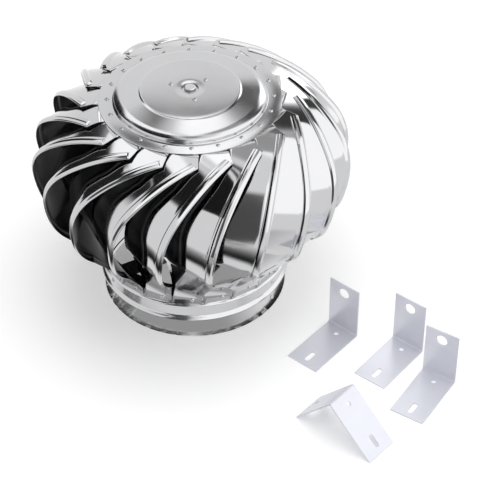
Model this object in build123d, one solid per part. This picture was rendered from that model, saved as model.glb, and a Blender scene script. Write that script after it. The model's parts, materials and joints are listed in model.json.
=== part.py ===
from build123d import *
import os
from math import asin, cos, degrees, hypot, radians, sin, sqrt, tan

# Roof turbine ventilator with its four loose fixing brackets.
# Millimetres, +Z up. The origin is the centre of the neck's bottom rim.
# An azimuth is measured from -Y (the front), counter-clockwise seen from above.

# Neck collar, the fixed part that slips over the duct
neck_radius = 100.0
neck_wall = 0.8
neck_height = 58.0
neck_hem_height = 7.0
neck_bead_z = 27.0
neck_bead_rise = 3.6
neck_bead_half_width = 4.2

# Neck support: three bent arms, a socket and the shaft that stands in it
neck_arm_azimuths = (-61.0, 59.0, 179.0)
neck_arm_width = 22.0
neck_arm_thickness = 2.0
neck_arm_z = 42.0
neck_arm_foot_z = 8.0
arm_bend_radius = 3.0
arm_fit = 0.02
neck_rivet_low_z = 13.0
neck_rivet_high_z = 36.0
socket_radius = 15.0
socket_bottom_z = 30.0
socket_top_z = 54.0
shaft_radius = 6.0
shaft_bottom_z = 16.0
shaft_end_rise = 2.0
nut_across_flats = 18.0
nut_height = 6.5
washer_radius = 12.0
washer_thickness = 1.5

# Ball bearings, 12 bore, 32 outside, 10 wide
bearing_radius = 16.0
bearing_width = 10.0
inner_ring_wall = 2.8
outer_ring_wall = 3.0
shield_gap = 0.3
spacer_wall = 2.0
lower_bearing_z = 66.0

# Rotor ring, which hangs over the neck and carries the feet of the vanes
ring_gap = 2.4
ring_radius = neck_radius + ring_gap
ring_wall = 0.8
ring_bottom_z = 45.5
ring_top_z = 76.0
ring_bead_rise = 2.4
ring_bead_half_width = 2.6

# Rotor spider: three arms and a bearing housing
rotor_arm_azimuths = (0.0, 120.0, 240.0)
rotor_arm_width = 20.0
rotor_arm_thickness = 2.0
rotor_arm_z = 74.0
rotor_arm_foot_z = 60.0
rotor_arm_rivet_z = 65.0
housing_wall = 3.0
housing_lip = 1.5

# Top cap
cap_sheet = 1.0
cap_rim_radius = 95.0
cap_flange_inner_radius = 80.0
cap_flange_top_z = 245.0
cap_step_radius = 79.0
cap_step_rise = 4.6
cap_shoulder_radius = 74.0
cap_shoulder_rise = 7.4
plateau_radius = 53.2
plateau_edge_rise = 10.6
plateau_rise = 12.0
plateau_edge_run = 1.6
plateau_top_z = cap_flange_top_z + plateau_rise
cap_hole_radius = 8.8
cup_depth = 19.0
upper_bearing_z = plateau_top_z - cap_sheet - cup_depth
cup_flange_radius = 27.0
cup_sheet = 1.5
cup_rivet_circle = 21.0
cup_rivet_azimuths = (252.0, 132.0, 14.0)

# Vanes
vane_count = 20
vane_sheet = 0.8
edge_plane_azimuth = 50.3
edge_plane_tilt = 10.4
edge_plane_offset = 50.6
edge_start_run = 51.6
edge_start_drop = 2.1
edge_start_angle = 9.4
crown_radius = 150.0
crown_angle = 30.6
shoulder_radius = 56.6
shoulder_angle = 49.0
belly_radius = 128.0
belly_angle = 15.0
chin_radius = 41.0
chin_angle = 43.0
bead_height = 3.0
bead_half_width = 5.5
panel_width = 55.0
panel_lean = 2.0
tab_left_azimuth = 7.8
tab_right_azimuth = 24.4
tab_inner_radius = 80.5
notch_width = 17.0
notch_run = 84.0
foot_left_azimuth = -29.2
foot_right_azimuth = -11.8
foot_bottom_z = 51.0
foot_fold_left_z = 71.0
foot_fold_right_z = 62.5

# Rivets
rivet_head_radius = 2.4
rivet_head_height = 1.2
rim_rivet_circle = 86.0
rim_rivet_azimuth = 20.2
foot_rivet_azimuth = -17.7
foot_rivet_z = 56.0

# Brackets
bracket_width = 38.0
bracket_floor_leg = 72.0
bracket_upright_leg = 64.0
bracket_sheet = 1.5
bracket_bend_radius = 1.5
bracket_large_hole_radius = 6.25
bracket_large_hole_from_end = 12.0
bracket_small_hole_radius = 2.5
bracket_small_hole_from_fold = 12.5
bracket_slot_width = 5.5
bracket_slot_length = 15.0
bracket_slot_from_fold = 58.0
bracket_1_x = 162.7
bracket_1_y = -87.5
bracket_1_heading = 230.0
bracket_2_x = 231.3
bracket_2_y = -111.4
bracket_2_heading = 231.5
bracket_3_x = 260.7
bracket_3_y = -159.2
bracket_3_heading = 237.4
bracket_4_x = 153.5
bracket_4_y = -233.8
bracket_4_heading = -41.2

os.makedirs("parts", exist_ok=True)


def outward(azimuth, radius=1.0, z=0.0):
    """Point at an azimuth, radius and height."""
    return Vector(radius * sin(radians(azimuth)), -radius * cos(radians(azimuth)), z)


def turned(shape, azimuth):
    """Shape turned about the main axis."""
    return Rot(Z=azimuth) * shape


def group(solids):
    """Several separate solids as one node."""
    return Compound(children=list(solids))


def revolved(*outline):
    """Solid of revolution from (radius, height) corners."""
    return revolve(Plane.XZ * make_face(Polyline(*outline, close=True)), Axis.Z)


def tube(inner, outer, bottom, top):
    """Plain ring between two radii and two heights."""
    return revolved((inner, bottom), (outer, bottom), (outer, top), (inner, top))


def sheet_shell(outline, thickness):
    """Solid of revolution of a thin sheet whose outer face follows an open outline."""
    inner = []
    for index, (radius, height) in enumerate(outline):
        before = outline[max(index - 1, 0)]
        after = outline[min(index + 1, len(outline) - 1)]
        if index == 0:
            before = (2 * radius - after[0], 2 * height - after[1])
        if index == len(outline) - 1:
            after = (2 * radius - before[0], 2 * height - before[1])
        a = Vector(radius - before[0], height - before[1]).normalized()
        b = Vector(after[0] - radius, after[1] - height).normalized()
        bisector = (a + b).normalized()
        reach = thickness / a.dot(bisector)
        inner.append((radius + bisector.Y * reach, height - bisector.X * reach))
    return revolved(*outline, *reversed(inner))


def hexagon_nut(across_flats, bore, bottom, top):
    """Hexagon nut on the main axis."""
    face = RegularPolygon(across_flats / 2, 6, major_radius=False) - Circle(bore)
    return Pos(Z=bottom) * extrude(face, top - bottom)


# Neck


def make_neck_collar():
    """Collar with one rolled bead and a bottom edge hemmed inward."""
    inside = neck_radius - neck_wall
    hem = inside - neck_wall
    bead = neck_bead_z
    half = neck_bead_half_width
    crest = neck_radius + neck_bead_rise
    root = inside + neck_bead_rise
    return revolved(
        (neck_radius, 0),
        (neck_radius, bead - half),
        (crest, bead),
        (neck_radius, bead + half),
        (neck_radius, neck_height),
        (inside, neck_height),
        (inside, bead + half),
        (root, bead),
        (inside, bead - half),
        (inside, neck_hem_height),
        (hem, neck_hem_height),
        (hem, 0),
    )


def arm_reach(wall_radius, width):
    """Distance from the main axis to the outer face of an arm that fits inside a round wall."""
    return sqrt(wall_radius**2 - (width / 2) ** 2) - arm_fit


def bent_arm(hub_radius, wall_radius, width, thickness, arm_z, foot_z):
    """Radial flat bar at azimuth 0 with its outer end bent down against a round wall."""
    bend = arm_bend_radius
    outer = arm_reach(wall_radius, width)
    top = arm_z + thickness / 2
    root = hub_radius - 4
    face = make_face(
        Polyline(
            (root, top),
            (outer, top),
            (outer, foot_z),
            (outer - thickness, foot_z),
            (outer - thickness, top - thickness),
            (root, top - thickness),
            close=True,
        )
    )
    corners = face.vertices()
    face = fillet(corners.sort_by_distance((outer, top))[0], bend + thickness)
    corners = face.vertices()
    face = fillet(corners.sort_by_distance((outer - thickness, top - thickness))[0], bend)
    upright = Plane((0, 0, 0), x_dir=(0, -1, 0), z_dir=(-1, 0, 0))
    bar = extrude(upright * face, width / 2, both=True)
    return bar - Pos(Z=arm_z) * Cylinder(hub_radius, 4 * thickness)


def wall_rivets(azimuths, distance, levels, side=1):
    """Rivet heads on an upright wall, outside it or, with a side of -1, inside it."""
    rivets = []
    for azimuth in azimuths:
        for level in levels:
            seat = Plane(outward(azimuth, distance, level), z_dir=outward(azimuth) * side)
            rivets.append(seat * rivet_head())
    return group(rivets)


def rivet_head():
    """Round rivet head, eight-sided, standing on a surface at its origin."""
    foot = RegularPolygon(rivet_head_radius, 8)
    crown = Pos(Z=rivet_head_height) * RegularPolygon(0.6 * rivet_head_radius, 8)
    return loft([foot, crown], ruled=True)


# Vane


edge_normal = Vector(
    sin(radians(edge_plane_azimuth)) * cos(radians(edge_plane_tilt)),
    -cos(radians(edge_plane_azimuth)) * cos(radians(edge_plane_tilt)),
    -sin(radians(edge_plane_tilt)),
)
edge_run = Vector(-cos(radians(edge_plane_azimuth)), -sin(radians(edge_plane_azimuth)), 0)
edge_plane = Plane(edge_normal * edge_plane_offset, x_dir=edge_run, z_dir=-edge_normal)
edge_start_z = cap_flange_top_z - cap_sheet - edge_start_drop
edge_start_height = (edge_start_z - edge_plane.origin.Z) / cos(radians(edge_plane_tilt))


def edge_profile():
    """Stretches of a vane's outer edge from the crown down to the chin: each arc and its radius and angle."""
    angle = radians(edge_start_angle)
    point = (edge_start_run, edge_start_height)
    along = (cos(angle), -sin(angle))
    stretches = []
    for radius, turn in (
        (crown_radius, crown_angle),
        (shoulder_radius, shoulder_angle),
        (belly_radius, belly_angle),
        (chin_radius, chin_angle),
    ):
        arc = JernArc(point, along, radius, -turn)
        stretches.append((arc, radius, turn))
        point = arc @ 1
        along = arc % 1
    return stretches


def vane_section(with_bead):
    """Outer line of the vane's cross-section, from the free edge inward."""
    foot = bead_half_width
    drop = panel_width * tan(radians(panel_lean))
    bead = [(0, -bead_height)] if with_bead else []
    return [(-foot, 0), *bead, (foot, 0), (panel_width, drop)]


def sheet_section(with_bead):
    """Closed cross-section of the vane's sheet, flat on its inner side."""
    under = [(x, y + vane_sheet) for x, y in reversed(vane_section(with_bead=False))]
    return make_face(Polyline(*vane_section(with_bead), *under, close=True))


def section_plane(arc):
    """Plane across the start of an arc of the edge, with its X across the vane and its Y inward."""
    return Plane(arc @ 0, x_dir=(0, 0, 1), z_dir=arc % 0)


def bent_along(face, arc, radius, turn):
    """Cross-section bent along one arc of the edge."""
    along = arc % 0
    centre = arc @ 0 + Vector(along.Y, -along.X, 0) * radius
    return revolve(section_plane(arc) * face, Axis(centre, (0, 0, -1)), turn)


def vane_blade(stretches):
    """Curved blade with a bead along its outer edge, notched beside its neighbour's tab."""
    face = sheet_section(with_bead=True)
    blade = Part() + [bent_along(face, *stretch) for stretch in stretches]
    belly = stretches[2][0] @ 0
    outside = panel_width + 30
    inside = edge_start_run - 20
    notch = make_face(
        Polyline(
            (inside, notch_width + 11),
            (notch_run - 21, notch_width + 11),
            (notch_run, notch_width),
            (notch_run + 20, notch_width + 21),
            (belly.X, panel_width + 1),
            (belly.X, outside),
            (inside, outside),
            close=True,
        )
    )
    lying = Plane((0, belly.Y, 0), x_dir=(1, 0, 0), z_dir=(0, -1, 0))
    return blade - extrude(lying * notch, -100)


def vane_tab(stretches):
    """Flat tab under the cap's flange, folded down to meet the start of the blade."""
    top = cap_flange_top_z - cap_sheet
    crown = stretches[0][0]
    slope = extrude(section_plane(crown) * sheet_section(with_bead=False), 16, both=True)
    slope = edge_plane * slope
    above = [(panel_width, -40), (-bead_half_width - 20, -40), (-bead_half_width - 20, 0)]
    outside = make_face(Polyline(*vane_section(with_bead=False), *above, close=True))
    over = extrude(section_plane(crown) * outside, -30) + bent_along(outside, *stretches[0])
    height = edge_start_height
    plan = [
        outward(tab_left_azimuth, tab_inner_radius),
        outward(tab_right_azimuth, tab_inner_radius),
        outward(tab_right_azimuth, cap_rim_radius + 1),
        edge_plane.from_local_coords((edge_start_run, height, -bead_half_width)),
        edge_plane.from_local_coords((edge_start_run + 1.5, height, -bead_half_width)),
        edge_plane.from_local_coords((edge_start_run + 1.5, height, 12)),
        edge_plane.from_local_coords((notch_run - 19, height, notch_width + 9)),
        outward(tab_left_azimuth, cap_rim_radius - 1),
    ]
    outline = make_face(Polyline(*[(corner.X, corner.Y) for corner in plan], close=True))
    room = Pos(Z=top - 20) * extrude(outline, 20)
    flat = Pos(Z=top - vane_sheet) * extrude(outline, vane_sheet)
    return (flat - edge_plane * over) + (slope & room)


def vane_foot():
    """Flat foot that seats on the rotor ring, under the apron's fold."""
    middle = (foot_left_azimuth + foot_right_azimuth) / 2
    half = ring_radius * tan(radians((foot_right_azimuth - foot_left_azimuth) / 2))
    front = make_face(
        Polyline(
            (-half, foot_bottom_z),
            (half, foot_bottom_z),
            (half, foot_fold_right_z),
            (-half, foot_fold_left_z),
            close=True,
        )
    )
    facing = Plane(outward(middle, ring_radius), x_dir=outward(middle + 90), z_dir=outward(middle))
    return extrude(facing * front, vane_sheet)


def vane_apron(stretches):
    """Lower facet between the end of the blade and the fold of the foot."""
    chin = stretches[-1][0]
    end = chin @ 1
    along = chin % 1
    lap = 0.6
    drop = panel_width * tan(radians(panel_lean))
    start = end - along * lap
    inner_start = start + Vector(along.Y, -along.X, 0) * drop
    upper = [
        edge_plane.from_local_coords((start.X, start.Y, -bead_half_width)),
        edge_plane.from_local_coords((inner_start.X, inner_start.Y, panel_width - 3)),
    ]
    half_span = (foot_right_azimuth - foot_left_azimuth) / 2
    radius = (ring_radius + vane_sheet) / cos(radians(half_span))
    lower = [
        outward(foot_right_azimuth, radius, foot_fold_right_z - lap),
        outward(foot_left_azimuth, radius, foot_fold_left_z - lap),
    ]
    inward = (upper[1] - upper[0]).cross(lower[0] - upper[0]).normalized() * vane_sheet
    if inward.dot(upper[0]) > 0:
        inward = -inward
    edges = [make_face(Polyline(a, b, b + inward, a + inward, close=True)) for a, b in (upper, lower)]
    return loft(edges, ruled=True)


def make_vane():
    """One vane, bent from a single sheet, at the first place of the pattern."""
    stretches = edge_profile()
    top = cap_flange_top_z - cap_sheet
    ceiling = Pos(Z=top) * Cylinder(cap_rim_radius + 40, 30, align=(Align.CENTER, Align.CENTER, Align.MIN))
    blade = edge_plane * vane_blade(stretches) - ceiling
    return blade + vane_tab(stretches) + vane_apron(stretches) + vane_foot()


# Rotor


def make_top_cap():
    """Spun cap: flange, step, shallow cone and raised plateau with a centre hole."""
    return sheet_shell(
        [
            (cap_hole_radius, plateau_top_z),
            (plateau_radius - plateau_edge_run, plateau_top_z),
            (plateau_radius, cap_flange_top_z + plateau_edge_rise),
            (cap_shoulder_radius, cap_flange_top_z + cap_shoulder_rise),
            (cap_step_radius, cap_flange_top_z + cap_step_rise),
            (cap_flange_inner_radius, cap_flange_top_z),
            (cap_rim_radius, cap_flange_top_z),
        ],
        cap_sheet,
    )


def make_rotor_ring():
    """Band behind the vane feet, with a rolled bead along its lower edge."""
    bead_top = ring_bottom_z + 2 * ring_bead_half_width
    return sheet_shell(
        [
            (ring_radius, ring_top_z),
            (ring_radius, bead_top),
            (ring_radius + ring_bead_rise, ring_bottom_z + ring_bead_half_width),
            (ring_radius, ring_bottom_z),
        ],
        ring_wall,
    )


def foot_rivets(azimuths):
    """Rivet heads through the vane feet, one on each flat foot."""
    middle = (foot_left_azimuth + foot_right_azimuth) / 2
    distance = ring_radius + vane_sheet
    aside = ring_radius * tan(radians(foot_rivet_azimuth - middle))
    seat = Plane(outward(middle, distance, foot_rivet_z), x_dir=outward(middle + 90), z_dir=outward(middle))
    head = seat * Pos(X=aside) * rivet_head()
    return group([turned(head, azimuth) for azimuth in azimuths])


def flange_rivets(azimuths, circle, z):
    """Rivet heads on a level sheet."""
    return group([Pos(*outward(azimuth, circle, z)) * rivet_head() for azimuth in azimuths])


def make_inner_race(bottom):
    """Inner ring of a ball bearing."""
    return tube(shaft_radius, shaft_radius + inner_ring_wall, bottom, bottom + bearing_width)


def make_outer_race(bottom):
    """Outer ring of a ball bearing with its two shields."""
    top = bottom + bearing_width
    bore = bearing_radius - outer_ring_wall
    shield = shaft_radius + inner_ring_wall + shield_gap
    shield_sheet = 0.6
    return revolved(
        (bearing_radius, bottom),
        (bearing_radius, top),
        (shield, top),
        (shield, top - shield_sheet),
        (bore, top - shield_sheet),
        (bore, bottom + shield_sheet),
        (shield, bottom + shield_sheet),
        (shield, bottom),
    )


def make_retaining_ring(bottom):
    """Split ring that keeps a bearing in its housing."""
    ring = tube(bearing_radius - 2, bearing_radius, bottom, bottom + 1.2)
    return ring - Pos(0, -bearing_radius, bottom) * Box(4, 8, 4)


def make_upper_bearing_cup():
    """Pressed cup that hangs the upper bearing under the cap."""
    top = plateau_top_z - cap_sheet
    outer = bearing_radius + cup_sheet
    lip = bearing_radius - 1.8
    return revolved(
        (bearing_radius, top),
        (cup_flange_radius, top),
        (cup_flange_radius, top - cup_sheet),
        (outer, top - cup_sheet),
        (outer, upper_bearing_z - cup_sheet),
        (lip, upper_bearing_z - cup_sheet),
        (lip, upper_bearing_z),
        (bearing_radius, upper_bearing_z),
    )


def make_lower_bearing_housing():
    """Turned housing at the hub of the rotor spider."""
    outer = bearing_radius + housing_wall
    lip = bearing_radius - 1.8
    top = lower_bearing_z + bearing_width + 2.2
    return revolved(
        (bearing_radius, top),
        (outer, top),
        (outer, lower_bearing_z - housing_lip),
        (lip, lower_bearing_z - housing_lip),
        (lip, lower_bearing_z),
        (bearing_radius, lower_bearing_z),
    )


# Brackets


def make_bracket():
    """Angle bracket with its fold along Y at the origin and its long leg along +X."""
    face = make_face(
        Polyline(
            (0, 0),
            (bracket_floor_leg, 0),
            (bracket_floor_leg, bracket_sheet),
            (bracket_sheet, bracket_sheet),
            (bracket_sheet, bracket_upright_leg),
            (0, bracket_upright_leg),
            close=True,
        )
    )
    face = fillet(face.vertices().sort_by_distance((0, 0))[0], bracket_bend_radius + bracket_sheet)
    inner = (bracket_sheet, bracket_sheet)
    face = fillet(face.vertices().sort_by_distance(inner)[0], bracket_bend_radius)
    plate = extrude(Plane.XZ * face, bracket_width / 2, both=True)
    depth = 4 * bracket_sheet
    large_z = bracket_upright_leg - bracket_large_hole_from_end
    large = Pos(Z=large_z) * Rot(Y=90) * Cylinder(bracket_large_hole_radius, depth)
    small = Pos(X=bracket_small_hole_from_fold) * Cylinder(bracket_small_hole_radius, depth)
    slot_face = SlotOverall(bracket_slot_length, bracket_slot_width)
    slot = Pos(X=bracket_slot_from_fold) * extrude(slot_face, depth / 2, both=True)
    return plate - large - small - slot


def standing_bracket(x, y, heading):
    """Bracket on its long leg, fold centred at a floor point, long leg pointing at a heading."""
    return Pos(x, y) * Rot(Z=heading) * make_bracket()


def tented_bracket(x, y, heading):
    """Bracket on the ends of both legs, fold above a floor point."""
    slope = degrees(asin(bracket_upright_leg / hypot(bracket_floor_leg, bracket_upright_leg)))
    tent = Rot(Y=slope) * Rot(X=180) * make_bracket()
    return Pos(x, y, -tent.bounding_box().min.Z) * Rot(Z=heading) * tent


# Assembly

nodes = {
    "neck_collar": make_neck_collar(),
    "shaft_socket": tube(shaft_radius, socket_radius, socket_bottom_z, socket_top_z),
}
neck_inside = neck_radius - neck_wall
neck_arm = bent_arm(
    socket_radius, neck_inside, neck_arm_width, neck_arm_thickness, neck_arm_z, neck_arm_foot_z
)
for number, azimuth in enumerate(neck_arm_azimuths, 1):
    nodes[f"neck_arm_{number}"] = turned(neck_arm, azimuth)
neck_rivet_levels = (neck_rivet_low_z, neck_rivet_high_z)
nodes["neck_arm_rivets"] = wall_rivets(neck_arm_azimuths, neck_radius, neck_rivet_levels)

shaft_length = plateau_top_z + shaft_end_rise - shaft_bottom_z
shaft = Pos(Z=shaft_bottom_z) * Cylinder(
    shaft_radius, shaft_length, align=(Align.CENTER, Align.CENTER, Align.MIN)
)
nodes["shaft"] = chamfer(shaft.edges().filter_by(GeomType.CIRCLE), 0.8)
lower_washer_z = socket_bottom_z - washer_thickness
nodes["lower_washer"] = tube(shaft_radius, washer_radius, lower_washer_z, socket_bottom_z)
nodes["lower_nut"] = hexagon_nut(nut_across_flats, shaft_radius, lower_washer_z - nut_height, lower_washer_z)
spacer_radius = shaft_radius + spacer_wall
nodes["lower_spacer"] = tube(shaft_radius, spacer_radius, socket_top_z, lower_bearing_z)
nodes["long_spacer"] = tube(shaft_radius, spacer_radius, lower_bearing_z + bearing_width, upper_bearing_z)
upper_washer_z = upper_bearing_z + bearing_width
upper_nut_z = upper_washer_z + washer_thickness
nodes["upper_washer"] = tube(shaft_radius, washer_radius, upper_washer_z, upper_nut_z)
nodes["upper_nut"] = hexagon_nut(nut_across_flats, shaft_radius, upper_nut_z, upper_nut_z + nut_height)

for name, bottom in (("lower", lower_bearing_z), ("upper", upper_bearing_z)):
    nodes[f"{name}_inner_race"] = make_inner_race(bottom)
    nodes[f"{name}_outer_race"] = make_outer_race(bottom)
    nodes[f"{name}_retaining_ring"] = make_retaining_ring(bottom + bearing_width)
nodes["upper_bearing_cup"] = make_upper_bearing_cup()
nodes["lower_bearing_housing"] = make_lower_bearing_housing()
rotor_arm = bent_arm(
    bearing_radius + housing_wall,
    ring_radius - ring_wall,
    rotor_arm_width,
    rotor_arm_thickness,
    rotor_arm_z,
    rotor_arm_foot_z,
)
for number, azimuth in enumerate(rotor_arm_azimuths, 1):
    nodes[f"rotor_arm_{number}"] = turned(rotor_arm, azimuth)

pitch = 360 / vane_count
places = [pitch * number for number in range(vane_count)]
nodes["top_cap"] = make_top_cap()
nodes["rotor_ring"] = make_rotor_ring()
vane = make_vane()
for number, azimuth in enumerate(places, 1):
    nodes[f"vane_{number:02d}"] = turned(vane, azimuth)
nodes["rim_rivets"] = flange_rivets(
    [rim_rivet_azimuth + azimuth for azimuth in places], rim_rivet_circle, cap_flange_top_z
)
nodes["cup_rivets"] = flange_rivets(cup_rivet_azimuths, cup_rivet_circle, plateau_top_z)
nodes["ring_rivets"] = foot_rivets(places)
arm_face = arm_reach(ring_radius - ring_wall, rotor_arm_width) - rotor_arm_thickness
nodes["rotor_arm_rivets"] = wall_rivets(rotor_arm_azimuths, arm_face, [rotor_arm_rivet_z], -1)

nodes["bracket_1"] = standing_bracket(bracket_1_x, bracket_1_y, bracket_1_heading)
nodes["bracket_2"] = standing_bracket(bracket_2_x, bracket_2_y, bracket_2_heading)
nodes["bracket_3"] = standing_bracket(bracket_3_x, bracket_3_y, bracket_3_heading)
nodes["bracket_4"] = tented_bracket(bracket_4_x, bracket_4_y, bracket_4_heading)

for name, shape in nodes.items():
    export_step(shape, f"parts/{name}.step")
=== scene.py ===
"""Roof turbine ventilator and its four loose fixing brackets, finished for a studio picture.

Vanes, cap, ring, neck and rivets are modelled around their construction solids. The inner parts and the
brackets keep theirs, with a finish, and the inner parts' polished steel is darkened as painted shade.
"""

import json
from math import asin, atan2, cos, degrees, hypot, pi, radians, sin, tan

import bmesh
import bpy
from bpy.props import FloatProperty, FloatVectorProperty, IntProperty, PointerProperty
from bpy.types import Operator, Panel, PropertyGroup
from mathutils import Matrix, Vector


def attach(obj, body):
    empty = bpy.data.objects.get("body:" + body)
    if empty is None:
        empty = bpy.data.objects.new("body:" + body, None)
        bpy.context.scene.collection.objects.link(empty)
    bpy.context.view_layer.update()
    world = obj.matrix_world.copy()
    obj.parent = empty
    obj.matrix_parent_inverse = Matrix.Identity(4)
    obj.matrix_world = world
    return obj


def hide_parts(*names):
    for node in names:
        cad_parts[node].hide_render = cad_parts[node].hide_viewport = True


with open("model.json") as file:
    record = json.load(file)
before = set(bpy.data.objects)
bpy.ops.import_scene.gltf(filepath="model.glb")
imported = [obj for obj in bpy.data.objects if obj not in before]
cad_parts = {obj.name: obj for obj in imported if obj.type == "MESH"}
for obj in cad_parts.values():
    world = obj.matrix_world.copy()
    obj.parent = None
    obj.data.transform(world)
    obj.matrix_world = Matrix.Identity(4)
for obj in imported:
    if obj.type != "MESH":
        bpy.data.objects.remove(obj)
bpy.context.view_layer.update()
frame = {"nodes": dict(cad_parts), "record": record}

bl_info = {
    "name": "Roof turbine ventilator",
    "version": (1, 0, 0),
    "blender": (4, 5, 0),
    "location": "3D View > Sidebar > Ventilator",
    "description": "Models the finished pieces of a roof turbine ventilator around its frame",
    "category": "Add Mesh",
}

# Points closer than MERGE become one, TINY is the slack of a comparison, edges steeper than
# SHARP_ANGLE are shaded sharp, and spun sheets have SPUN_STEPS faces round.
MERGE = 0.00002
TINY = 0.000001
SHARP_ANGLE = radians(28)
SPUN_STEPS = 160

# Vane, along its outer edge: rows before the bead, the bead's start and its first full row, the
# number of rows of the blade and of the chin, and how far before the end the last row and the bead stop.
LEAD_IN_ROWS = (-0.012, -0.006, 0.0)
BEAD_START = 0.0014
BEAD_FIRST_ROW = 0.0022
BLADE_ROWS = 46
CHIN_ROWS = 9
CHIN_LAST_ROW = 0.0008
BEAD_END = 0.0001

# Vane, across it: places of its points as shares of the bead and the panel, the strip beside the
# crease, the limits as pairs of run and place across, and how far the foot's fold is rounded.
BEAD_PLACES = (0.0, 0.05, 0.11, 0.18, 0.26, 0.38, 0.5, 0.62, 0.74, 0.82, 0.89, 0.95, 1.0)
CREASE_STRIP = 0.0005
PANEL_PLACES = (0.05, 0.12, 0.26, 0.4, 0.55, 0.7, 0.85, 1.0)
RIGHT_LIMITS = ((0.0400, 0.0130), (0.0516, -0.0052), (0.2, -0.0052))
LEFT_LIMITS = ((0.063, 0.027), (0.084, 0.017), (0.104, 0.038), (0.150, 0.055), (0.3, 0.055))
FOLD_ABOVE, FOLD_BELOW = 0.3, 0.4

# Cap: places of the dome's points from the hole to the plateau's edge, and how fast the dome falls.
DOME_PLACES = (0.2, 0.35, 0.5, 0.65, 0.8, 0.9)
DOME_POWER = 2.5

# Neck: radius of the hem's round edge, in walls.
HEM_ROUND = 1.5

# Rivets: azimuths of the cup's and the arms' rivets in degrees, and heights of the neck's rivets.
CUP_AZIMUTHS = (252, 132, 14)
ARM_AZIMUTHS = (-61, 59, 179)
ARM_RIVET_LEVELS = (0.013, 0.036)

# Rivet head: how far it sinks into its sheet, the width of the bore's mouth and floor as shares of the
# bore, the height of the bore's edge as a share of the head's, and the depths of the bore.
HEAD_SINK = 0.0002
MOUTH_SHARE, WELL_SHARE = 1.2, 0.9
BORE_EDGE_SHARE = 0.85
BORE_WALL_DEPTH, BORE_DEPTH = 0.0005, 0.0006
DOME_TURNS = (0, 15, 30, 45, 60, 75)
HEAD_STEPS = 20
HEAD_SHARP_ANGLE = radians(40)


# Properties


def length(name, default, text):
    """A length in metres."""
    return FloatProperty(
        name=name, description=text, default=default, min=0.0, precision=5, unit="LENGTH"
    )


def angle(name, default, text):
    """An angle, with its default given in degrees."""
    return FloatProperty(name=name, description=text, default=radians(default), subtype="ANGLE")


def share(name, default, text):
    """A plain number from 0 to 1."""
    return FloatProperty(name=name, description=text, default=default, min=0.0, max=1.0)


def colour(name, default, text):
    """A linear colour."""
    return FloatVectorProperty(name=name, description=text, default=default, size=3, subtype="COLOR")


class VaneSizes(PropertyGroup):
    """Sizes of one vane."""

    count: IntProperty(name="Vanes", description="Vanes round the rotor", default=20, min=3)
    sheet: length("Sheet", 0.0008, "Thickness of the vane's sheet")
    plane_azimuth: angle("Edge plane azimuth", 50.3, "Azimuth of the normal of the outer edge's plane")
    plane_tilt: angle("Edge plane tilt", 10.4, "Tilt of that normal below the horizon")
    plane_offset: length("Edge plane offset", 0.0506, "Distance of that plane from the origin")
    start_run: length("Edge start", 0.0516, "Where the outer edge starts, along its plane")
    start_height: length("Edge start height", 0.2552, "How high the outer edge starts, in its plane")
    start_angle: angle("Edge start angle", 9.4, "How steeply the outer edge starts")
    crown_radius: length("Crown radius", 0.150, "Radius of the edge's first arc")
    crown_angle: angle("Crown angle", 30.6, "Angle of the edge's first arc")
    shoulder_radius: length("Shoulder radius", 0.0566, "Radius of the edge's second arc")
    shoulder_angle: angle("Shoulder angle", 49.0, "Angle of the edge's second arc")
    belly_radius: length("Belly radius", 0.128, "Radius of the edge's third arc")
    belly_angle: angle("Belly angle", 15.0, "Angle of the edge's third arc")
    chin_radius: length("Chin radius", 0.041, "Radius of the edge's last arc")
    chin_angle: angle("Chin angle", 43.0, "Angle of the edge's last arc")
    lip: length("Lip", 0.0006, "Flat lip outside the bead")
    bead_width: length("Bead width", 0.0082, "Width of the pressed bead")
    bead_height: length("Bead height", 0.00225, "Height of the pressed bead")
    bead_flank: share("Bead flank", 0.62, "Share of the bead's half width that its side takes up")
    bead_middle: FloatProperty(
        name="Bead middle", description="Where the bead's crown lies across the edge's line",
        default=-0.0005, precision=5, unit="LENGTH",
    )
    bead_inset: length("Crease", 0.0055, "Where the panel's crease lies, inward of the edge's line")
    panel_width: length("Panel width", 0.055, "Width of the blade, inward of the edge's line")
    panel_tilt: angle("Panel tilt", 9.0, "How far the panel leans inward of the bead")
    panel_top: length("Panel top", 0.028, "Where the panel's upper fold lies, along the edge")
    panel_low_right: length("Panel foot, right", 0.165, "Where the lower fold starts, beside the bead")
    panel_low_left: length("Panel foot, left", 0.184, "Where the lower fold ends, at the free side")
    fold: length("Fold", 0.030, "Length over which a fold turns")
    foot_left: angle("Foot left", -29.2, "Azimuth of the foot's left edge")
    foot_right: angle("Foot right", -11.8, "Azimuth of the foot's right edge")
    foot_fold_left: length("Foot fold, left", 0.071, "Height of the foot's fold at its left edge")
    foot_fold_right: length("Foot fold, right", 0.0625, "Height of the foot's fold at its right edge")
    foot_bottom: length("Foot bottom", 0.051, "Height of the foot's lower edge")
    tab_left: angle("Tab left", 7.8, "Azimuth of the tab's left edge")
    tab_right: angle("Tab right", 24.4, "Azimuth of the tab's right edge")
    tab_radius: length("Tab radius", 0.0805, "Inner radius of the tab")
    tab_reach: length("Tab reach", 0.096, "Radius of the tab's outer right corner")
    tab_level: length("Tab level", 0.244, "Height of the tab's upper face")


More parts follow.
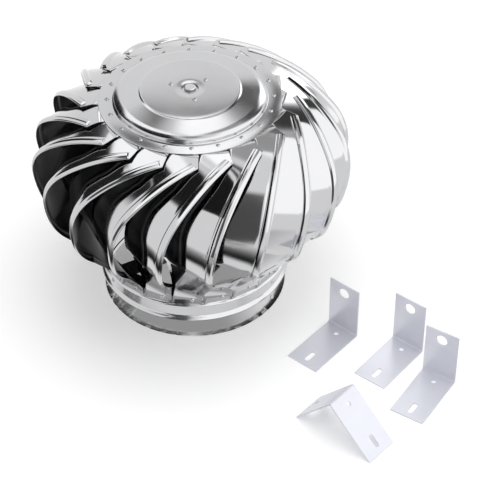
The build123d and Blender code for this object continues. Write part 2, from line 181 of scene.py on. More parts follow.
class CapSizes(PropertyGroup):
    """Sizes of the top cap."""

    sheet: length("Sheet", 0.001, "Thickness of the cap's sheet")
    hole: length("Hole", 0.0088, "Radius of the centre hole")
    plateau: length("Plateau", 0.0532, "Radius of the raised plateau")
    plateau_top: length("Plateau top", 0.257, "Height of the plateau")
    dome: length("Dome", 0.0006, "How far the plateau falls towards its edge")
    crown_step: length("Crown step", 0.0016, "Width of the step round the plateau")
    plateau_foot: length("Plateau foot", 0.2556, "Height at the plateau's edge")
    shoulder: length("Shoulder", 0.074, "Radius where the cone ends")
    shoulder_level: length("Shoulder level", 0.2524, "Height where the cone ends")
    step: length("Step", 0.079, "Radius at the top of the step")
    step_level: length("Step level", 0.2496, "Height at the top of the step")
    flange: length("Flange", 0.080, "Inner radius of the flange")
    rim: length("Rim", 0.095, "Radius of the cap")
    flange_level: length("Flange level", 0.245, "Height of the flange")
    hole_round: length("Hole rounding", 0.0004, "Rounding of the hole's edge")
    plateau_round: length("Plateau rounding", 0.0008, "Rounding round the plateau")
    shoulder_round: length("Shoulder rounding", 0.0035, "Rounding where the cone ends")
    step_round: length("Step rounding", 0.0012, "Rounding at the top of the step")
    flange_round: length("Flange rounding", 0.0010, "Rounding at the foot of the step")
    rim_round: length("Rim rounding", 0.0003, "Rounding of the rim")


class CollarSizes(PropertyGroup):
    """Sizes of the neck collar and the rotor ring."""

    neck: length("Neck", 0.100, "Outer radius of the neck")
    neck_wall: length("Neck wall", 0.0008, "Wall of the neck")
    neck_height: length("Neck height", 0.058, "Height of the neck")
    hem: length("Hem", 0.007, "Height of the hem at the neck's bottom edge")
    neck_bead: length("Neck bead", 0.027, "Height of the neck's rolled bead")
    neck_bead_rise: length("Neck bead rise", 0.0036, "How far that bead stands out")
    neck_bead_half: length("Neck bead half width", 0.0042, "Half the width of that bead")
    ring: length("Ring", 0.1024, "Outer radius of the rotor ring")
    ring_bottom: length("Ring bottom", 0.0455, "Lower edge of the rotor ring")
    ring_top: length("Ring top", 0.076, "Upper edge of the rotor ring")
    ring_bead_rise: length("Ring bead rise", 0.0024, "How far the ring's bead stands out")
    ring_bead_half: length("Ring bead half width", 0.0026, "Half the width of the ring's bead")


class RivetSizes(PropertyGroup):
    """Sizes and places of the rivets."""

    radius: length("Head radius", 0.0024, "Radius of a rivet's head")
    height: length("Head height", 0.0012, "Height of a rivet's head")
    bore: length("Head bore", 0.0012, "Radius of the hole in a rivet's head")
    rim_circle: length("Rim circle", 0.086, "Radius of the circle of rim rivets")
    rim_azimuth: angle("Rim azimuth", 20.2, "Azimuth of the first rim rivet")
    foot_azimuth: angle("Foot azimuth", -17.7, "Azimuth of the first foot rivet")
    foot_level: length("Foot level", 0.056, "Height of the foot rivets")
    cup_circle: length("Cup circle", 0.021, "Radius of the circle of cup rivets")


class Finishes(PropertyGroup):
    """Colours and polish of the metals."""

    steel: colour("Stainless steel", (0.62, 0.62, 0.63), "Polished stainless steel")
    zinc: colour("Zinc", (0.80, 0.81, 0.88), "Galvanised sheet")
    turned: colour("Turned steel", (0.55, 0.55, 0.56), "Turned steel")
    polish: share("Polish", 0.07, "Roughness of the polished sheet")
    satin: share("Satin", 0.28, "Roughness of the galvanised sheet")


class StudioSizes(PropertyGroup):
    """Lens, floor, surroundings and lamps."""

    lens: FloatProperty(name="Lens", description="Focal length in millimetres", default=127.0)
    floor: length("Floor", 6.0, "Half the side of the floor")
    world: share("World", 0.464, "How strongly the pale surroundings light the object")
    lamps: FloatProperty(name="Lamps", description="Strength of the lamps", default=2.3, min=0.0)
    glow: share("Floor glow", 0.27, "How much the floor is lifted towards white in the picture")
    far_glow: share("Far floor glow", 0.6, "How much it is lifted far from the object")


# Geometry helpers


def outward(azimuth, radius, height):
    """Point at an azimuth from the front, counter-clockwise from above."""
    return Vector((radius * sin(azimuth), -radius * cos(azimuth), height))


def finish_mesh(mesh, bm, sharp=SHARP_ANGLE, folds=()):
    """Writes a bmesh to a mesh with its faces outward, and its folds and steep edges sharp."""
    bmesh.ops.recalc_face_normals(bm, faces=bm.faces)
    for face in bm.faces:
        face.smooth = True
    for edge in bm.edges:
        edge.smooth = edge.calc_face_angle(0.0) < sharp
    for edge in folds:
        if edge.is_valid:
            edge.smooth = False
    bm.to_mesh(mesh)
    bm.free()


def place(mesh, name, material, body, nodes):
    """Links a mesh as a piece that rides on a body and stands for CAD nodes."""
    piece = bpy.data.objects.new(name, mesh)
    bpy.context.scene.collection.objects.link(piece)
    mesh.materials.append(material)
    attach(piece, body)
    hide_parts(*nodes)
    return piece


def thicken(piece, thickness, inner=None):
    """Thickens a sheet inward of its modelled face, with a second material inside if one is given, which
    the vanes use for painted shade.
    """
    wall = piece.modifiers.new("wall", "SOLIDIFY")
    wall.thickness = thickness
    wall.offset = -1.0
    wall.use_even_offset = True
    wall.thickness_clamp = 1.0
    # The inner material, where one is given, paints shade on the sheet's inner faces.
    if inner:
        piece.data.materials.append(inner)
        wall.material_offset = 1


def polyline(bm, points):
    """Wire through points in the XZ plane."""
    verts = [bm.verts.new((x, 0.0, z)) for x, z in points]
    edges = [bm.edges.new(pair) for pair in zip(verts, verts[1:])]
    return verts, edges


def spun(points, steps=SPUN_STEPS, closed=False):
    """Surface of revolution about Z of an outline of (radius, height) points."""
    bm = bmesh.new()
    verts, edges = polyline(bm, points)
    if closed:
        edges.append(bm.edges.new((verts[-1], verts[0])))
    bmesh.ops.spin(
        bm, geom=verts + edges, cent=(0, 0, 0), axis=(0, 0, 1), dvec=(0, 0, 0),
        angle=2 * pi, steps=steps, use_merge=True, use_duplicate=False,
    )
    return bm


def arc(centre, radius, start, end, steps):
    """Points on an arc in the XZ plane, angles in degrees from +X."""
    turns = [radians(start + (end - start) * step / steps) for step in range(steps + 1)]
    return [(centre[0] + radius * cos(t), centre[1] + radius * sin(t)) for t in turns]


def rolled_bead(radius, level, half, rise, steps=12):
    """Outline of a smooth rolled bead on a wall, from its lower to its upper side."""
    shares = [step / steps * 2 - 1 for step in range(steps + 1)]
    return [(radius + rise * 0.5 * (1 + cos(pi * t)), level + half * t) for t in shares]


def softened(corner, before, after, size, steps=4):
    """Points that round a corner of an outline, as a quadratic curve of a given size."""
    corner, before, after = Vector(corner), Vector(before), Vector(after)
    start = corner + (before - corner).normalized() * size
    end = corner + (after - corner).normalized() * size
    points = []
    for step in range(steps + 1):
        t = step / steps
        point = start * (1 - t) ** 2 + corner * 2 * t * (1 - t) + end * t**2
        points.append((point.x, point.y))
    return points


def smooth_step(value):
    """0 below 0, 1 above 1 and smooth between them."""
    value = min(max(value, 0.0), 1.0)
    return value * value * (3 - 2 * value)


def between(value, table):
    """Straight-line reading of a short table of (value, result) pairs."""
    for (low, first), (high, second) in zip(table, table[1:]):
        if value <= high:
            return first + (second - first) * max(value - low, 0.0) / (high - low)
    return table[-1][1]


# Materials


# Range of the smudges' noise over which the roughness rises.
SMUDGE_LOW, SMUDGE_HIGH = 0.35, 0.7


def surface_group():
    """Shared polishing marks: a smudge mask, fine grain and a gentle waviness."""
    group = bpy.data.node_groups.new("metal_surface", "ShaderNodeTree")
    sockets = group.interface
    sockets.new_socket("Vector", in_out="INPUT", socket_type="NodeSocketVector")
    for name, value in (("Smudge scale", 14.0), ("Grain scale", 900.0), ("Wave scale", 9.0)):
        sockets.new_socket(name, in_out="INPUT", socket_type="NodeSocketFloat").default_value = value
    for name in ("Smudge", "Grain", "Wave"):
        sockets.new_socket(name, in_out="OUTPUT", socket_type="NodeSocketFloat")
    nodes, links = group.nodes, group.links
    entry, leave = nodes.new("NodeGroupInput"), nodes.new("NodeGroupOutput")
    for name, detail, distortion in (("Smudge", 6.0, 0.6), ("Grain", 2.0, 0.0), ("Wave", 1.0, 0.2)):
        noise = nodes.new("ShaderNodeTexNoise")
        noise.inputs["Detail"].default_value = detail
        noise.inputs["Distortion"].default_value = distortion
        links.new(entry.outputs["Vector"], noise.inputs["Vector"])
        links.new(entry.outputs[name + " scale"], noise.inputs["Scale"])
        links.new(noise.outputs["Fac"], leave.inputs[name])
    return group


def darker(base, part):
    """A colour at a share of its brightness."""
    return tuple(part * channel for channel in base)


def metal(
    name, group, base, roughness, stretch=(1, 1, 1),
    smudge=0.06, grain=0.0000015, wave=0.0, tone=0.06, metallic=1.0, gloss=0.5,
):
    """Metal with smudges in its roughness and tone, fine grain and slight waves."""
    material = bpy.data.materials.new(name)
    material.use_nodes = True
    nodes, links = material.node_tree.nodes, material.node_tree.links
    shader = nodes["Principled BSDF"]
    shader.inputs["Metallic"].default_value = metallic
    shader.inputs["Specular IOR Level"].default_value = gloss
    spot = nodes.new("ShaderNodeTexCoord")
    mapping = nodes.new("ShaderNodeMapping")
    mapping.inputs["Scale"].default_value = stretch
    marks = nodes.new("ShaderNodeGroup")
    marks.node_tree = group
    links.new(spot.outputs["Object"], mapping.inputs["Vector"])
    links.new(mapping.outputs["Vector"], marks.inputs["Vector"])
    rough = nodes.new("ShaderNodeMapRange")
    rough.inputs["From Min"].default_value = SMUDGE_LOW
    rough.inputs["From Max"].default_value = SMUDGE_HIGH
    rough.inputs["To Min"].default_value = roughness
    rough.inputs["To Max"].default_value = roughness + smudge
    links.new(marks.outputs["Smudge"], rough.inputs["Value"])
    links.new(rough.outputs["Result"], shader.inputs["Roughness"])
    shade = nodes.new("ShaderNodeMix")
    shade.data_type = "RGBA"
    shade.inputs["A"].default_value = (*base, 1.0)
    shade.inputs["B"].default_value = (*darker(base, 1 - tone), 1.0)
    links.new(marks.outputs["Smudge"], shade.inputs["Factor"])
    links.new(shade.outputs["Result"], shader.inputs["Base Color"])
    lines = nodes.new("ShaderNodeBump")
    lines.inputs["Strength"].default_value = 1.0
    lines.inputs["Distance"].default_value = grain
    links.new(marks.outputs["Grain"], lines.inputs["Height"])
    if wave:
        swell = nodes.new("ShaderNodeBump")
        swell.inputs["Distance"].default_value = wave
        links.new(marks.outputs["Wave"], swell.inputs["Height"])
        links.new(swell.outputs["Normal"], lines.inputs["Normal"])
    links.new(lines.outputs["Normal"], shader.inputs["Normal"])


def materials():
    """Every metal finish, built once, with two darkened copies of the polished steel that paint shade.
    """
    if "polished_sheet" in bpy.data.materials:
        return bpy.data.materials
    finish = bpy.context.scene.vent_finish
    group = surface_group()
    steel, turned = tuple(finish.steel), tuple(finish.turned)
    metal("polished_sheet", group, steel, roughness=finish.polish, wave=0.0006)
    metal("spun_sheet", group, steel, roughness=finish.polish + 0.05, wave=0.0005)
    # Painted shade: the polished steel of the inner parts at 0.6 of its brightness.
    metal("painted_shade_inner_steel", group, darker(steel, 0.6), roughness=0.2)
    # Painted shade: the polished steel nearly black, for the vanes' inner faces and the rivets' bores.
    metal("painted_shade_dark_steel", group, darker(steel, 0.12), roughness=0.35)
    metal(
        "zinc_sheet", group, tuple(finish.zinc), roughness=finish.satin, stretch=(1, 1, 4),
        smudge=0.08, grain=0.0000008, tone=0.12, metallic=0.4, gloss=0.4,
    )
    metal("turned_steel", group, turned, roughness=0.22, stretch=(1, 1, 30))
    metal("bearing_steel", group, darker(turned, 0.9), roughness=0.16)
    metal("rivet_steel", group, steel, roughness=0.1, stretch=(4, 4, 4))
    return bpy.data.materials


# Vane


def vane_axes(vane):
    """Matrix from the edge's plane (along, up, across) to the row's frame."""
    azimuth, level = vane.plane_azimuth, cos(vane.plane_tilt)
    normal = Vector((sin(azimuth) * level, -cos(azimuth) * level, -sin(vane.plane_tilt)))
    along = Vector((-cos(azimuth), -sin(azimuth), 0.0))
    up = (-normal).cross(along)
    matrix = Matrix((along, up, -normal)).transposed().to_4x4()
    matrix.translation = normal * vane.plane_offset
    return matrix


def edge_arcs(vane):
    """Radius and angle of each arc of the outer edge."""
    return (
        (vane.crown_radius, vane.crown_angle),
        (vane.shoulder_radius, vane.shoulder_angle),
        (vane.belly_radius, vane.belly_angle),
        (vane.chin_radius, vane.chin_angle),
    )


def edge_length(vane):
    """Length of the outer edge."""
    return sum(radius * turn for radius, turn in edge_arcs(vane))


def edge_at(vane, distance):
    """Point of the outer edge in its plane, and how steeply it falls there."""
    x, y, fall = vane.start_run, vane.start_height, vane.start_angle
    if distance <= 0:
        return x + distance * cos(fall), y - distance * sin(fall), fall
    for radius, turn in edge_arcs(vane):
        used = min(distance / radius, turn)
        x += radius * (sin(fall + used) - sin(fall))
        y += radius * (cos(fall + used) - cos(fall))
        fall += used
        distance -= radius * turn
        if distance <= 0:
            break
    return x, y, fall


def vane_widths(vane):
    """Places across the vane: lip, bead, strip, crease and panel."""
    start = vane.bead_middle - vane.bead_width / 2 - vane.lip
    bead = [start + vane.lip + vane.bead_width * part for part in BEAD_PLACES]
    crease = vane.bead_inset
    panel = [crease + (vane.panel_width - crease) * part for part in PANEL_PLACES]
    return [start, *bead, crease - CREASE_STRIP, crease, *panel]


def bead_share(vane, across):
    """Height of the bead across its width, from 0 to 1: round sides and a nearly flat crown."""
    t = abs(across - vane.bead_middle) / (vane.bead_width / 2)
    return smooth_step((1 - t) / vane.bead_flank) if t < 1 else 0.0


def vane_limits(run):
    """Right and left limit across the vane at a run, beside its own tab and its neighbour's."""
    return between(run, RIGHT_LIMITS), between(run, LEFT_LIMITS)


def panel_share(vane, width):
    """How far across the panel a place lies, from 0 at the crease to 1 at the free side."""
    return max(0.0, (width - vane.bead_inset) / (vane.panel_width - vane.bead_inset))


def vane_point(vane, distance, across):
    """Place in the edge's plane of a point of the sheet, before its bead is pressed."""
    x, y, fall = edge_at(vane, distance)
    opening = smooth_step((distance - vane.panel_top) / vane.fold)
    depth = tan(vane.panel_tilt) * max(0.0, across - vane.bead_inset) * opening
    return Vector((x - sin(fall) * depth, y - cos(fall) * depth, across))


def foot_point(vane, ring, share_across, level=None):
    """Place on the foot's fold, or on a level below it, from its right to its left edge."""
    half = (vane.foot_right - vane.foot_left) / 2
    radius = (ring + vane.sheet) / cos(half)
    right = outward(vane.foot_right, radius, vane.foot_fold_right if level is None else level)
    left = outward(vane.foot_left, radius, vane.foot_fold_left if level is None else level)
    return right.lerp(left, share_across)


def vane_stations(vane):
    """Distances along the outer edge of the rows of points, and the number of the panel's last row."""
    end = edge_length(vane)
    low = vane.panel_low_right
    blade = [low * step / BLADE_ROWS for step in range(2, BLADE_ROWS + 1)]
    chin = [low + (end - low) * step / CHIN_ROWS for step in range(1, CHIN_ROWS)]
    rows = [*LEAD_IN_ROWS, BEAD_START, BEAD_FIRST_ROW, *blade, *chin, end - CHIN_LAST_ROW, end]
    return rows, rows.index(blade[-1])


def vane_row(vane, widths, number, feet):
    """Points of one row across the vane, in the edge's plane."""
    rows, crease_row = vane_stations(vane)
    distance, end = rows[number], rows[-1]
    run, _, fall = edge_at(vane, distance)
    right, left = vane_limits(run)
    pressed = BEAD_START < distance < end - BEAD_END
    points = []
    for width, foot in zip(widths, feet):
        inner = panel_share(vane, width)
        reach = left * inner + vane.bead_inset * (1 - inner) if inner else max(width, right)
        if run < vane.start_run:
            # Before the edge's start the whole width is laid between the two limits.
            reach = right + (width - widths[0]) * (left - right) / (widths[-1] - widths[0])
        station = distance
        if inner:
            low = vane.panel_low_right + (vane.panel_low_left - vane.panel_low_right) * inner
            stretch = 1 + (low / vane.panel_low_right - 1) * smooth_step(distance / vane.panel_low_right)
            station = min(distance * stretch, low)
        point = vane_point(vane, station, reach)
        if inner and number > crease_row:
            point = point.lerp(foot, (number - crease_row) / (len(rows) - crease_row))
        if pressed:
            point += Vector((sin(fall), cos(fall), 0.0)) * vane.bead_height * bead_share(vane, width)
        points.append(point)
    return points


def vane_sheet(vane, ring):
    """The outer face of the first vane as one open sheet in the row's frame, with its sharp folds."""
    bm = bmesh.new()
    widths = vane_widths(vane)
    axes = vane_axes(vane)
    inverse = axes.inverted()
    shares = [(width - widths[0]) / (widths[-1] - widths[0]) for width in widths]
    feet = [inverse @ foot_point(vane, ring, part) for part in shares]
    toes = [inverse @ foot_point(vane, ring, part, vane.foot_bottom) for part in shares]
    rows, crease_row = vane_stations(vane)
    table = [vane_row(vane, widths, number, feet) for number in range(len(rows))]
    table += rounded_fold(table[-1], feet, toes)
    verts = [bm.verts.new(point) for point in table[0]]
    edges = [bm.edges.new(pair) for pair in zip(verts, verts[1:])]
    folds = []
    for number, points in enumerate(table[1:], 1):
        grown = bmesh.ops.extrude_edge_only(bm, edges=edges)["geom"]
        verts = [item for item in grown if isinstance(item, bmesh.types.BMVert)]
        edges = [item for item in grown if isinstance(item, bmesh.types.BMEdge)]
        for vert, point in zip(verts, points):
            vert.co = point
        if number == crease_row:
            folds.extend(edge for edge in edges if is_panel(vane, edge))
    bmesh.ops.transform(bm, matrix=axes, verts=bm.verts)
    folds += add_tab(bm, vane, axes)
    bmesh.ops.remove_doubles(bm, verts=bm.verts, dist=MERGE)
    return bm, folds


def rounded_fold(above, fold, below, steps=6):
    """Rows that lead round a fold, from the row above it to the row below it."""
    rows = []
    for step in range(steps + 1):
        t = step / steps
        row = []
        for first, corner, last in zip(above, fold, below):
            start, end = corner.lerp(first, FOLD_ABOVE), corner.lerp(last, FOLD_BELOW)
            row.append(start * (1 - t) ** 2 + corner * 2 * t * (1 - t) + end * t**2)
        rows.append(row)
    return [*rows, below]


def is_panel(vane, edge):
    """Whether an edge lies on the panel, while the sheet is still in the edge's plane."""
    return min(vert.co.z for vert in edge.verts) > vane.bead_inset - TINY


def add_tab(bm, vane, axes):
    """Cuts the sheet at the tab's level, adds the flat tab and returns the fold between them."""
    level = vane.tab_level
    cut = bmesh.ops.bisect_plane(
        bm, geom=[*bm.verts, *bm.edges, *bm.faces], dist=1e-7,
        plane_co=(0, 0, level), plane_no=(0, 0, 1), clear_outer=True,
    )["geom_cut"]
    across = axes.to_3x3().col[2]
    fold = sorted((v for v in cut if isinstance(v, bmesh.types.BMVert)), key=lambda v: v.co.dot(across))
    corners = [
        outward(vane.tab_left, vane.tab_radius, level),
        outward(vane.tab_right, vane.tab_radius, level),
        outward(vane.tab_right, vane.tab_reach, level),
    ]
    bm.faces.new([*fold, *[bm.verts.new(corner) for corner in corners]])
    return [item for item in cut if isinstance(item, bmesh.types.BMEdge)]


class VENT_OT_vanes(Operator):
    """Models the beaded, folded vanes"""

    bl_idname = "vent.vanes"
    bl_label = "Vanes"

    def execute(self, context):
        vane = context.scene.vent_vane
        bm, folds = vane_sheet(vane, context.scene.vent_collar.ring)
        first = bpy.data.meshes.new("vane_sheet")
        finish_mesh(first, bm, folds=folds)
        # The vanes' inner faces get the nearly black steel, painted shade.
        outer, inner = materials()["polished_sheet"], materials()["painted_shade_dark_steel"]
        for number in range(vane.count):
            mesh = first.copy()
            mesh.transform(Matrix.Rotation(2 * pi * number / vane.count, 4, "Z"))
            node = f"vane_{number + 1:02d}"
            piece = place(mesh, "pressed_" + node, outer, "rotor", [node])
            thicken(piece, vane.sheet, inner)
        bpy.data.meshes.remove(first)
        return {"FINISHED"}


# Cap, ring and neck


def cap_outline(cap):
    """Outer line of the cap, from the hole over the domed plateau and the cone to the rim."""
    hole = (cap.hole, cap.plateau_top)
    crown = cap.plateau - cap.crown_step
    dome = [
        (cap.hole + (crown - cap.hole) * t, cap.plateau_top - cap.dome * t**DOME_POWER)
        for t in DOME_PLACES
    ]
    edge = (crown, cap.plateau_top - cap.dome)
    foot = (cap.plateau, cap.plateau_foot)
    shoulder = (cap.shoulder, cap.shoulder_level)
    step = (cap.step, cap.step_level)
    flange = (cap.flange, cap.flange_level)
    rim = (cap.rim, cap.flange_level)
    return [
        (cap.hole, cap.plateau_top - cap.sheet),
        *softened(hole, (cap.hole, 0), edge, cap.hole_round, 2),
        *dome,
        *softened(edge, dome[-1], foot, cap.plateau_round),
        *softened(foot, edge, shoulder, cap.plateau_round),
        *softened(shoulder, foot, step, cap.shoulder_round, 6),
        *softened(step, shoulder, flange, cap.step_round),
        *softened(flange, step, rim, cap.flange_round),
        *softened(rim, flange, (cap.rim, 0), cap.rim_round, 2),
        (cap.rim, cap.flange_level - cap.sheet),
    ]


class VENT_OT_cap(Operator):
    """Models the spun top cap"""

    bl_idname = "vent.cap"
    bl_label = "Top cap"

    def execute(self, context):
        cap = context.scene.vent_cap
        mesh = bpy.data.meshes.new("cap_shell")
        finish_mesh(mesh, spun(cap_outline(cap)))
        sheet = materials()["spun_sheet"]
        piece = place(mesh, "cap_shell", sheet, "rotor", ["top_cap"])
        thicken(piece, cap.sheet)
        return {"FINISHED"}


class VENT_OT_ring(Operator):
    """Models the rotor ring with its rolled lower bead"""

    bl_idname = "vent.ring"
    bl_label = "Rotor ring"

    def execute(self, context):
        sizes = context.scene.vent_collar
        half = sizes.ring_bead_half
        bead = rolled_bead(sizes.ring, sizes.ring_bottom + half, half, sizes.ring_bead_rise)
        mesh = bpy.data.meshes.new("ring_band")
        finish_mesh(mesh, spun([*bead, (sizes.ring, sizes.ring_top)]))
        sheet = materials()["spun_sheet"]
        piece = place(mesh, "ring_band", sheet, "rotor", ["rotor_ring"])
        thicken(piece, sizes.neck_wall)
        return {"FINISHED"}


class VENT_OT_neck(Operator):
    """Models the neck collar with its rolled bead and hem"""

    bl_idname = "vent.neck"
    bl_label = "Neck collar"

    def execute(self, context):
        sizes = context.scene.vent_collar
        wall = sizes.neck_wall
        outside = sizes.neck
        inside = outside - wall
        bead = (sizes.neck_bead, sizes.neck_bead_half, sizes.neck_bead_rise)
        hem_round = wall * HEM_ROUND
        hem_middle = (outside - wall, hem_round)
        outline = [
            (inside - wall, hem_round),
            *arc(hem_middle, hem_round, 180, 360, 8)[1:],
            *rolled_bead(outside, *bead),
            (outside, sizes.neck_height),
            (inside, sizes.neck_height),
            *reversed(rolled_bead(inside, *bead)),
            (inside, sizes.hem),
            (inside - wall, sizes.hem),
        ]
        mesh = bpy.data.meshes.new("neck_shell")
        finish_mesh(mesh, spun(outline, closed=True))
        sheet = materials()["spun_sheet"]
        place(mesh, "neck_shell", sheet, "neck", ["neck_collar"])
        return {"FINISHED"}


# Rivets


def rivet_profile(rivet):
    """Outline of a blind rivet's domed head, from its edge in the sheet to the middle of its bore."""
    radius, height, bore = rivet.radius, rivet.height, rivet.bore
    dome = [(radius * cos(radians(t)), height * sin(radians(t))) for t in DOME_TURNS]
    mouth = [(bore * MOUTH_SHARE, height), (bore, height * BORE_EDGE_SHARE)]
    well = [(bore * WELL_SHARE, -BORE_WALL_DEPTH), (0.0, -BORE_DEPTH)]
    return [(radius, -HEAD_SINK), *dome, *mouth, *well]


def rivet_heads(rivet, seats, name, body, node):
    """Rivet heads at seats, each a point and an outward direction, with their bores darkened as painted
    shade.
    """
    bm = spun(rivet_profile(rivet), HEAD_STEPS)
    bmesh.ops.remove_doubles(bm, verts=bm.verts, dist=TINY)
    # Faces inside the bore take the second material, the nearly black steel that paints the bore's
    # shade.
    for face in bm.faces:
        in_bore = all(vert.co.xy.length < rivet.bore + TINY for vert in face.verts)
        face.material_index = int(in_bore)
    head = bpy.data.meshes.new("rivet_head")
    bm.to_mesh(head)
    bm.free()
    heads = bmesh.new()
    for point, direction in seats:
        start = len(heads.verts)
        heads.from_mesh(head)
        heads.verts.ensure_lookup_table()
        turn = direction.to_track_quat("Z", "Y").to_matrix().to_4x4()
        bmesh.ops.transform(heads, matrix=Matrix.Translation(point) @ turn, verts=heads.verts[start:])
    bpy.data.meshes.remove(head)
    mesh = bpy.data.meshes.new(name)
    finish_mesh(mesh, heads, HEAD_SHARP_ANGLE)
    place(mesh, name, materials()["rivet_steel"], body, [node])
    # Second material: the nearly black steel, painted shade in the bores.
    mesh.materials.append(materials()["painted_shade_dark_steel"])


class VENT_OT_rivets(Operator):
    """Models the blind rivets of the rim, feet, bearing cup and arms"""

    bl_idname = "vent.rivets"
    bl_label = "Rivets"

    def execute(self, context):
        scene = context.scene
        rivet, vane, cap = scene.vent_rivet, scene.vent_vane, scene.vent_cap
        sizes = scene.vent_collar
        up = Vector((0, 0, 1))
        places = [2 * pi * number / vane.count for number in range(vane.count)]
        rim = [(outward(rivet.rim_azimuth + a, rivet.rim_circle, cap.flange_level), up) for a in places]
        rivet_heads(rivet, rim, "rim_rivet_heads", "rotor", "rim_rivets")
        cup = [(outward(radians(a), rivet.cup_circle, cap.plateau_top), up) for a in CUP_AZIMUTHS]
        rivet_heads(rivet, cup, "cup_rivet_heads", "rotor", "cup_rivets")
        middle = (vane.foot_left + vane.foot_right) / 2
        distance = sizes.ring + vane.sheet
        aside = distance * tan(rivet.foot_azimuth - middle)
        feet = []
        for a in places:
            facing = outward(middle + a, 1.0, 0.0)
            side = outward(middle + a + pi / 2, 1.0, 0.0)
            feet.append((facing * distance + side * aside + up * rivet.foot_level, facing))
        rivet_heads(rivet, feet, "foot_rivet_heads", "rotor", "ring_rivets")
        neck = []
        for a in ARM_AZIMUTHS:
            facing = outward(radians(a), 1.0, 0.0)
            neck.extend((facing * sizes.neck + up * level, facing) for level in ARM_RIVET_LEVELS)
        rivet_heads(rivet, neck, "neck_rivet_heads", "neck", "neck_arm_rivets")
        return {"FINISHED"}


# Inner pieces and brackets


class VENT_OT_inner_parts(Operator):
    """Finishes the shaft, bearings, arms and brackets that keep their construction shapes, with the
    polished steel among them darkened as painted shade
    """

    bl_idname = "vent.inner_parts"
    bl_label = "Inner parts and brackets"

    def execute(self, context):
        finishes = {
            "galvanised_steel": "zinc_sheet",
            "turned_steel": "turned_steel",
            "bearing_steel": "bearing_steel",
            # The inner parts' polished steel is darkened, painted shade.
            "polished_stainless": "painted_shade_inner_steel",
        }
        slots = {part["node"]: part["material_slot"] for part in frame["record"]["subparts"]}
        for name, node in frame["nodes"].items():
            if node.hide_render:
                continue
            node.data.materials.clear()
            node.data.materials.append(materials()[finishes[slots[name]]])
        return {"FINISHED"}


# Studio

# Points of a screen each way, the height that screens are centred on, and the height of the mats.
SCREEN_STEPS = 40
SCREEN_CENTRE = 0.15
MAT_LEVEL = 0.001

# Name, azimuths, elevations, level of light, soft edge (all angles in degrees) and distance in metres.
SCREENS = (
    ("left_dark", (-150, -34), (47, 80), 0.015, 2.5, 2.5),
    ("far_left_dark", (-150, -106), (-1, 50), 0.02, 5, 2.5),
    ("camera_side", (-33, -4), (-9, 68), 0.1, 4, 2.4),
    ("zenith_dark", (0, 359.9), (83, 89.9), 0.04, 3, 2.35),
    ("right_light", (3, 122), (-2, 75), 1.5, 4, 2.3),
    ("back_dark", (118, 193), (37.5, 58), 0.03, 5.5, 2.5),
    ("back_left_dark", (188, 204), (43, 58), 0.1, 4, 2.45),
    ("back_right_dark", (118, 172), (28, 58), 0.06, 6, 2.45),
    ("back_light", (164, 190), (44, 85), 1.65, 1.5, 2.3),
    ("back_left_light", (204, 238), (41, 80), 1.5, 3, 2.3),
    ("back_right_grey", (120, 166), (55, 80), 0.45, 4, 2.35),
    # The bracket card shines only in reflections, a painted highlight on the brackets and the tabs.
    ("bracket_light_card", (131, 158), (22, 44), 2.2, 4, 0.75),
)
# The mats are dark sheets on the floor that only reflections see, painted shadow: the front one darkens
# the floor's reflection towards the camera, and the others paint the object's shadow round its foot into
# the metal's reflection of the floor.
# Name, azimuths, radii, level of light, soft sides in degrees, and soft widths inside and outside.
PAINTED_SHADE_MATS = (
    ("front_dark_mat", (-33, -4), (0.30, 2.4), 0.1, 5, (0.1, 0.05)),
    ("near_shadow_mat", (-120, 30), (0.205, 0.40), 0.02, 22, (0.03, 0.16)),
    ("left_foot_shadow_mat", (-150, -88), (0.1004, 0.15), 0.05, 14, (0.001, 0.03)),
    ("patch_shadow_mat", (-67, -44), (0.1002, 0.165), 0.1, 4, (0.0004, 0.008)),
    ("front_foot_shadow_mat", (-84, 56), (0.1004, 0.168), 0.45, 38, (0.001, 0.035)),
    ("rim_shadow_mat", (0, 359.9), (0.1001, 0.1048), 0.03, 3, (0.0003, 0.0014)),
)
# Name, width, depth, place, aim and share of the lamps' strength.
LAMPS = (
    ("overhead_lamp", 2.4, 2.0, (0.3, 0.0, 2.3), (0.1, 0, 0.1), 1.0),
    ("left_lamp", 1.2, 1.0, (-1.9, -0.9, 1.5), (0, 0, 0.15), 0.65),
)

# Camera: place in metres, tilt and sensor width in millimetres.
CAMERA_PLACE = (0.0615, -1.4752, 1.3190)
CAMERA_TILT = radians(49.0)
CAMERA_SENSOR = 36.0

# Floor: its brightness, and the distances between which its glow grows.
FLOOR_TONE = 0.86
GLOW_NEAR, GLOW_FAR = 0.7, 2.6


def soft_lamp(name, size_x, size_y, location, target, strength):
    """A soft rectangular lamp aimed at a point, which lights but isn't mirrored."""
    lamp = bpy.data.lights.new(name, "AREA")
    lamp.shape = "RECTANGLE"
    lamp.size, lamp.size_y = size_x, size_y
    lamp.energy = strength * size_x * size_y * pi
    holder = bpy.data.objects.new(name, lamp)
    bpy.context.scene.collection.objects.link(holder)
    holder.location = location
    aim = Vector(target) - Vector(location)
    holder.rotation_euler = aim.to_track_quat("-Z", "Y").to_euler()
    holder.visible_glossy = False


def screen_surface(name, level):
    """Evenly shining or dark surface that fades out at the screen's edges."""
    surface = bpy.data.materials.new(name)
    surface.use_nodes = True
    nodes, links = surface.node_tree.nodes, surface.node_tree.links
    nodes.remove(nodes["Principled BSDF"])
    clear = nodes.new("ShaderNodeBsdfTransparent")
    shine = nodes.new("ShaderNodeEmission")
    shine.inputs["Color"].default_value = (1.0, 1.0, 1.0, 1.0)
    shine.inputs["Strength"].default_value = level
    fade = nodes.new("ShaderNodeAttribute")
    fade.attribute_name = "fade"
    mix = nodes.new("ShaderNodeMixShader")
    links.new(fade.outputs["Fac"], mix.inputs["Fac"])
    links.new(clear.outputs["BSDF"], mix.inputs[1])
    links.new(shine.outputs["Emission"], mix.inputs[2])
    links.new(mix.outputs["Shader"], nodes["Material Output"].inputs["Surface"])
    return surface


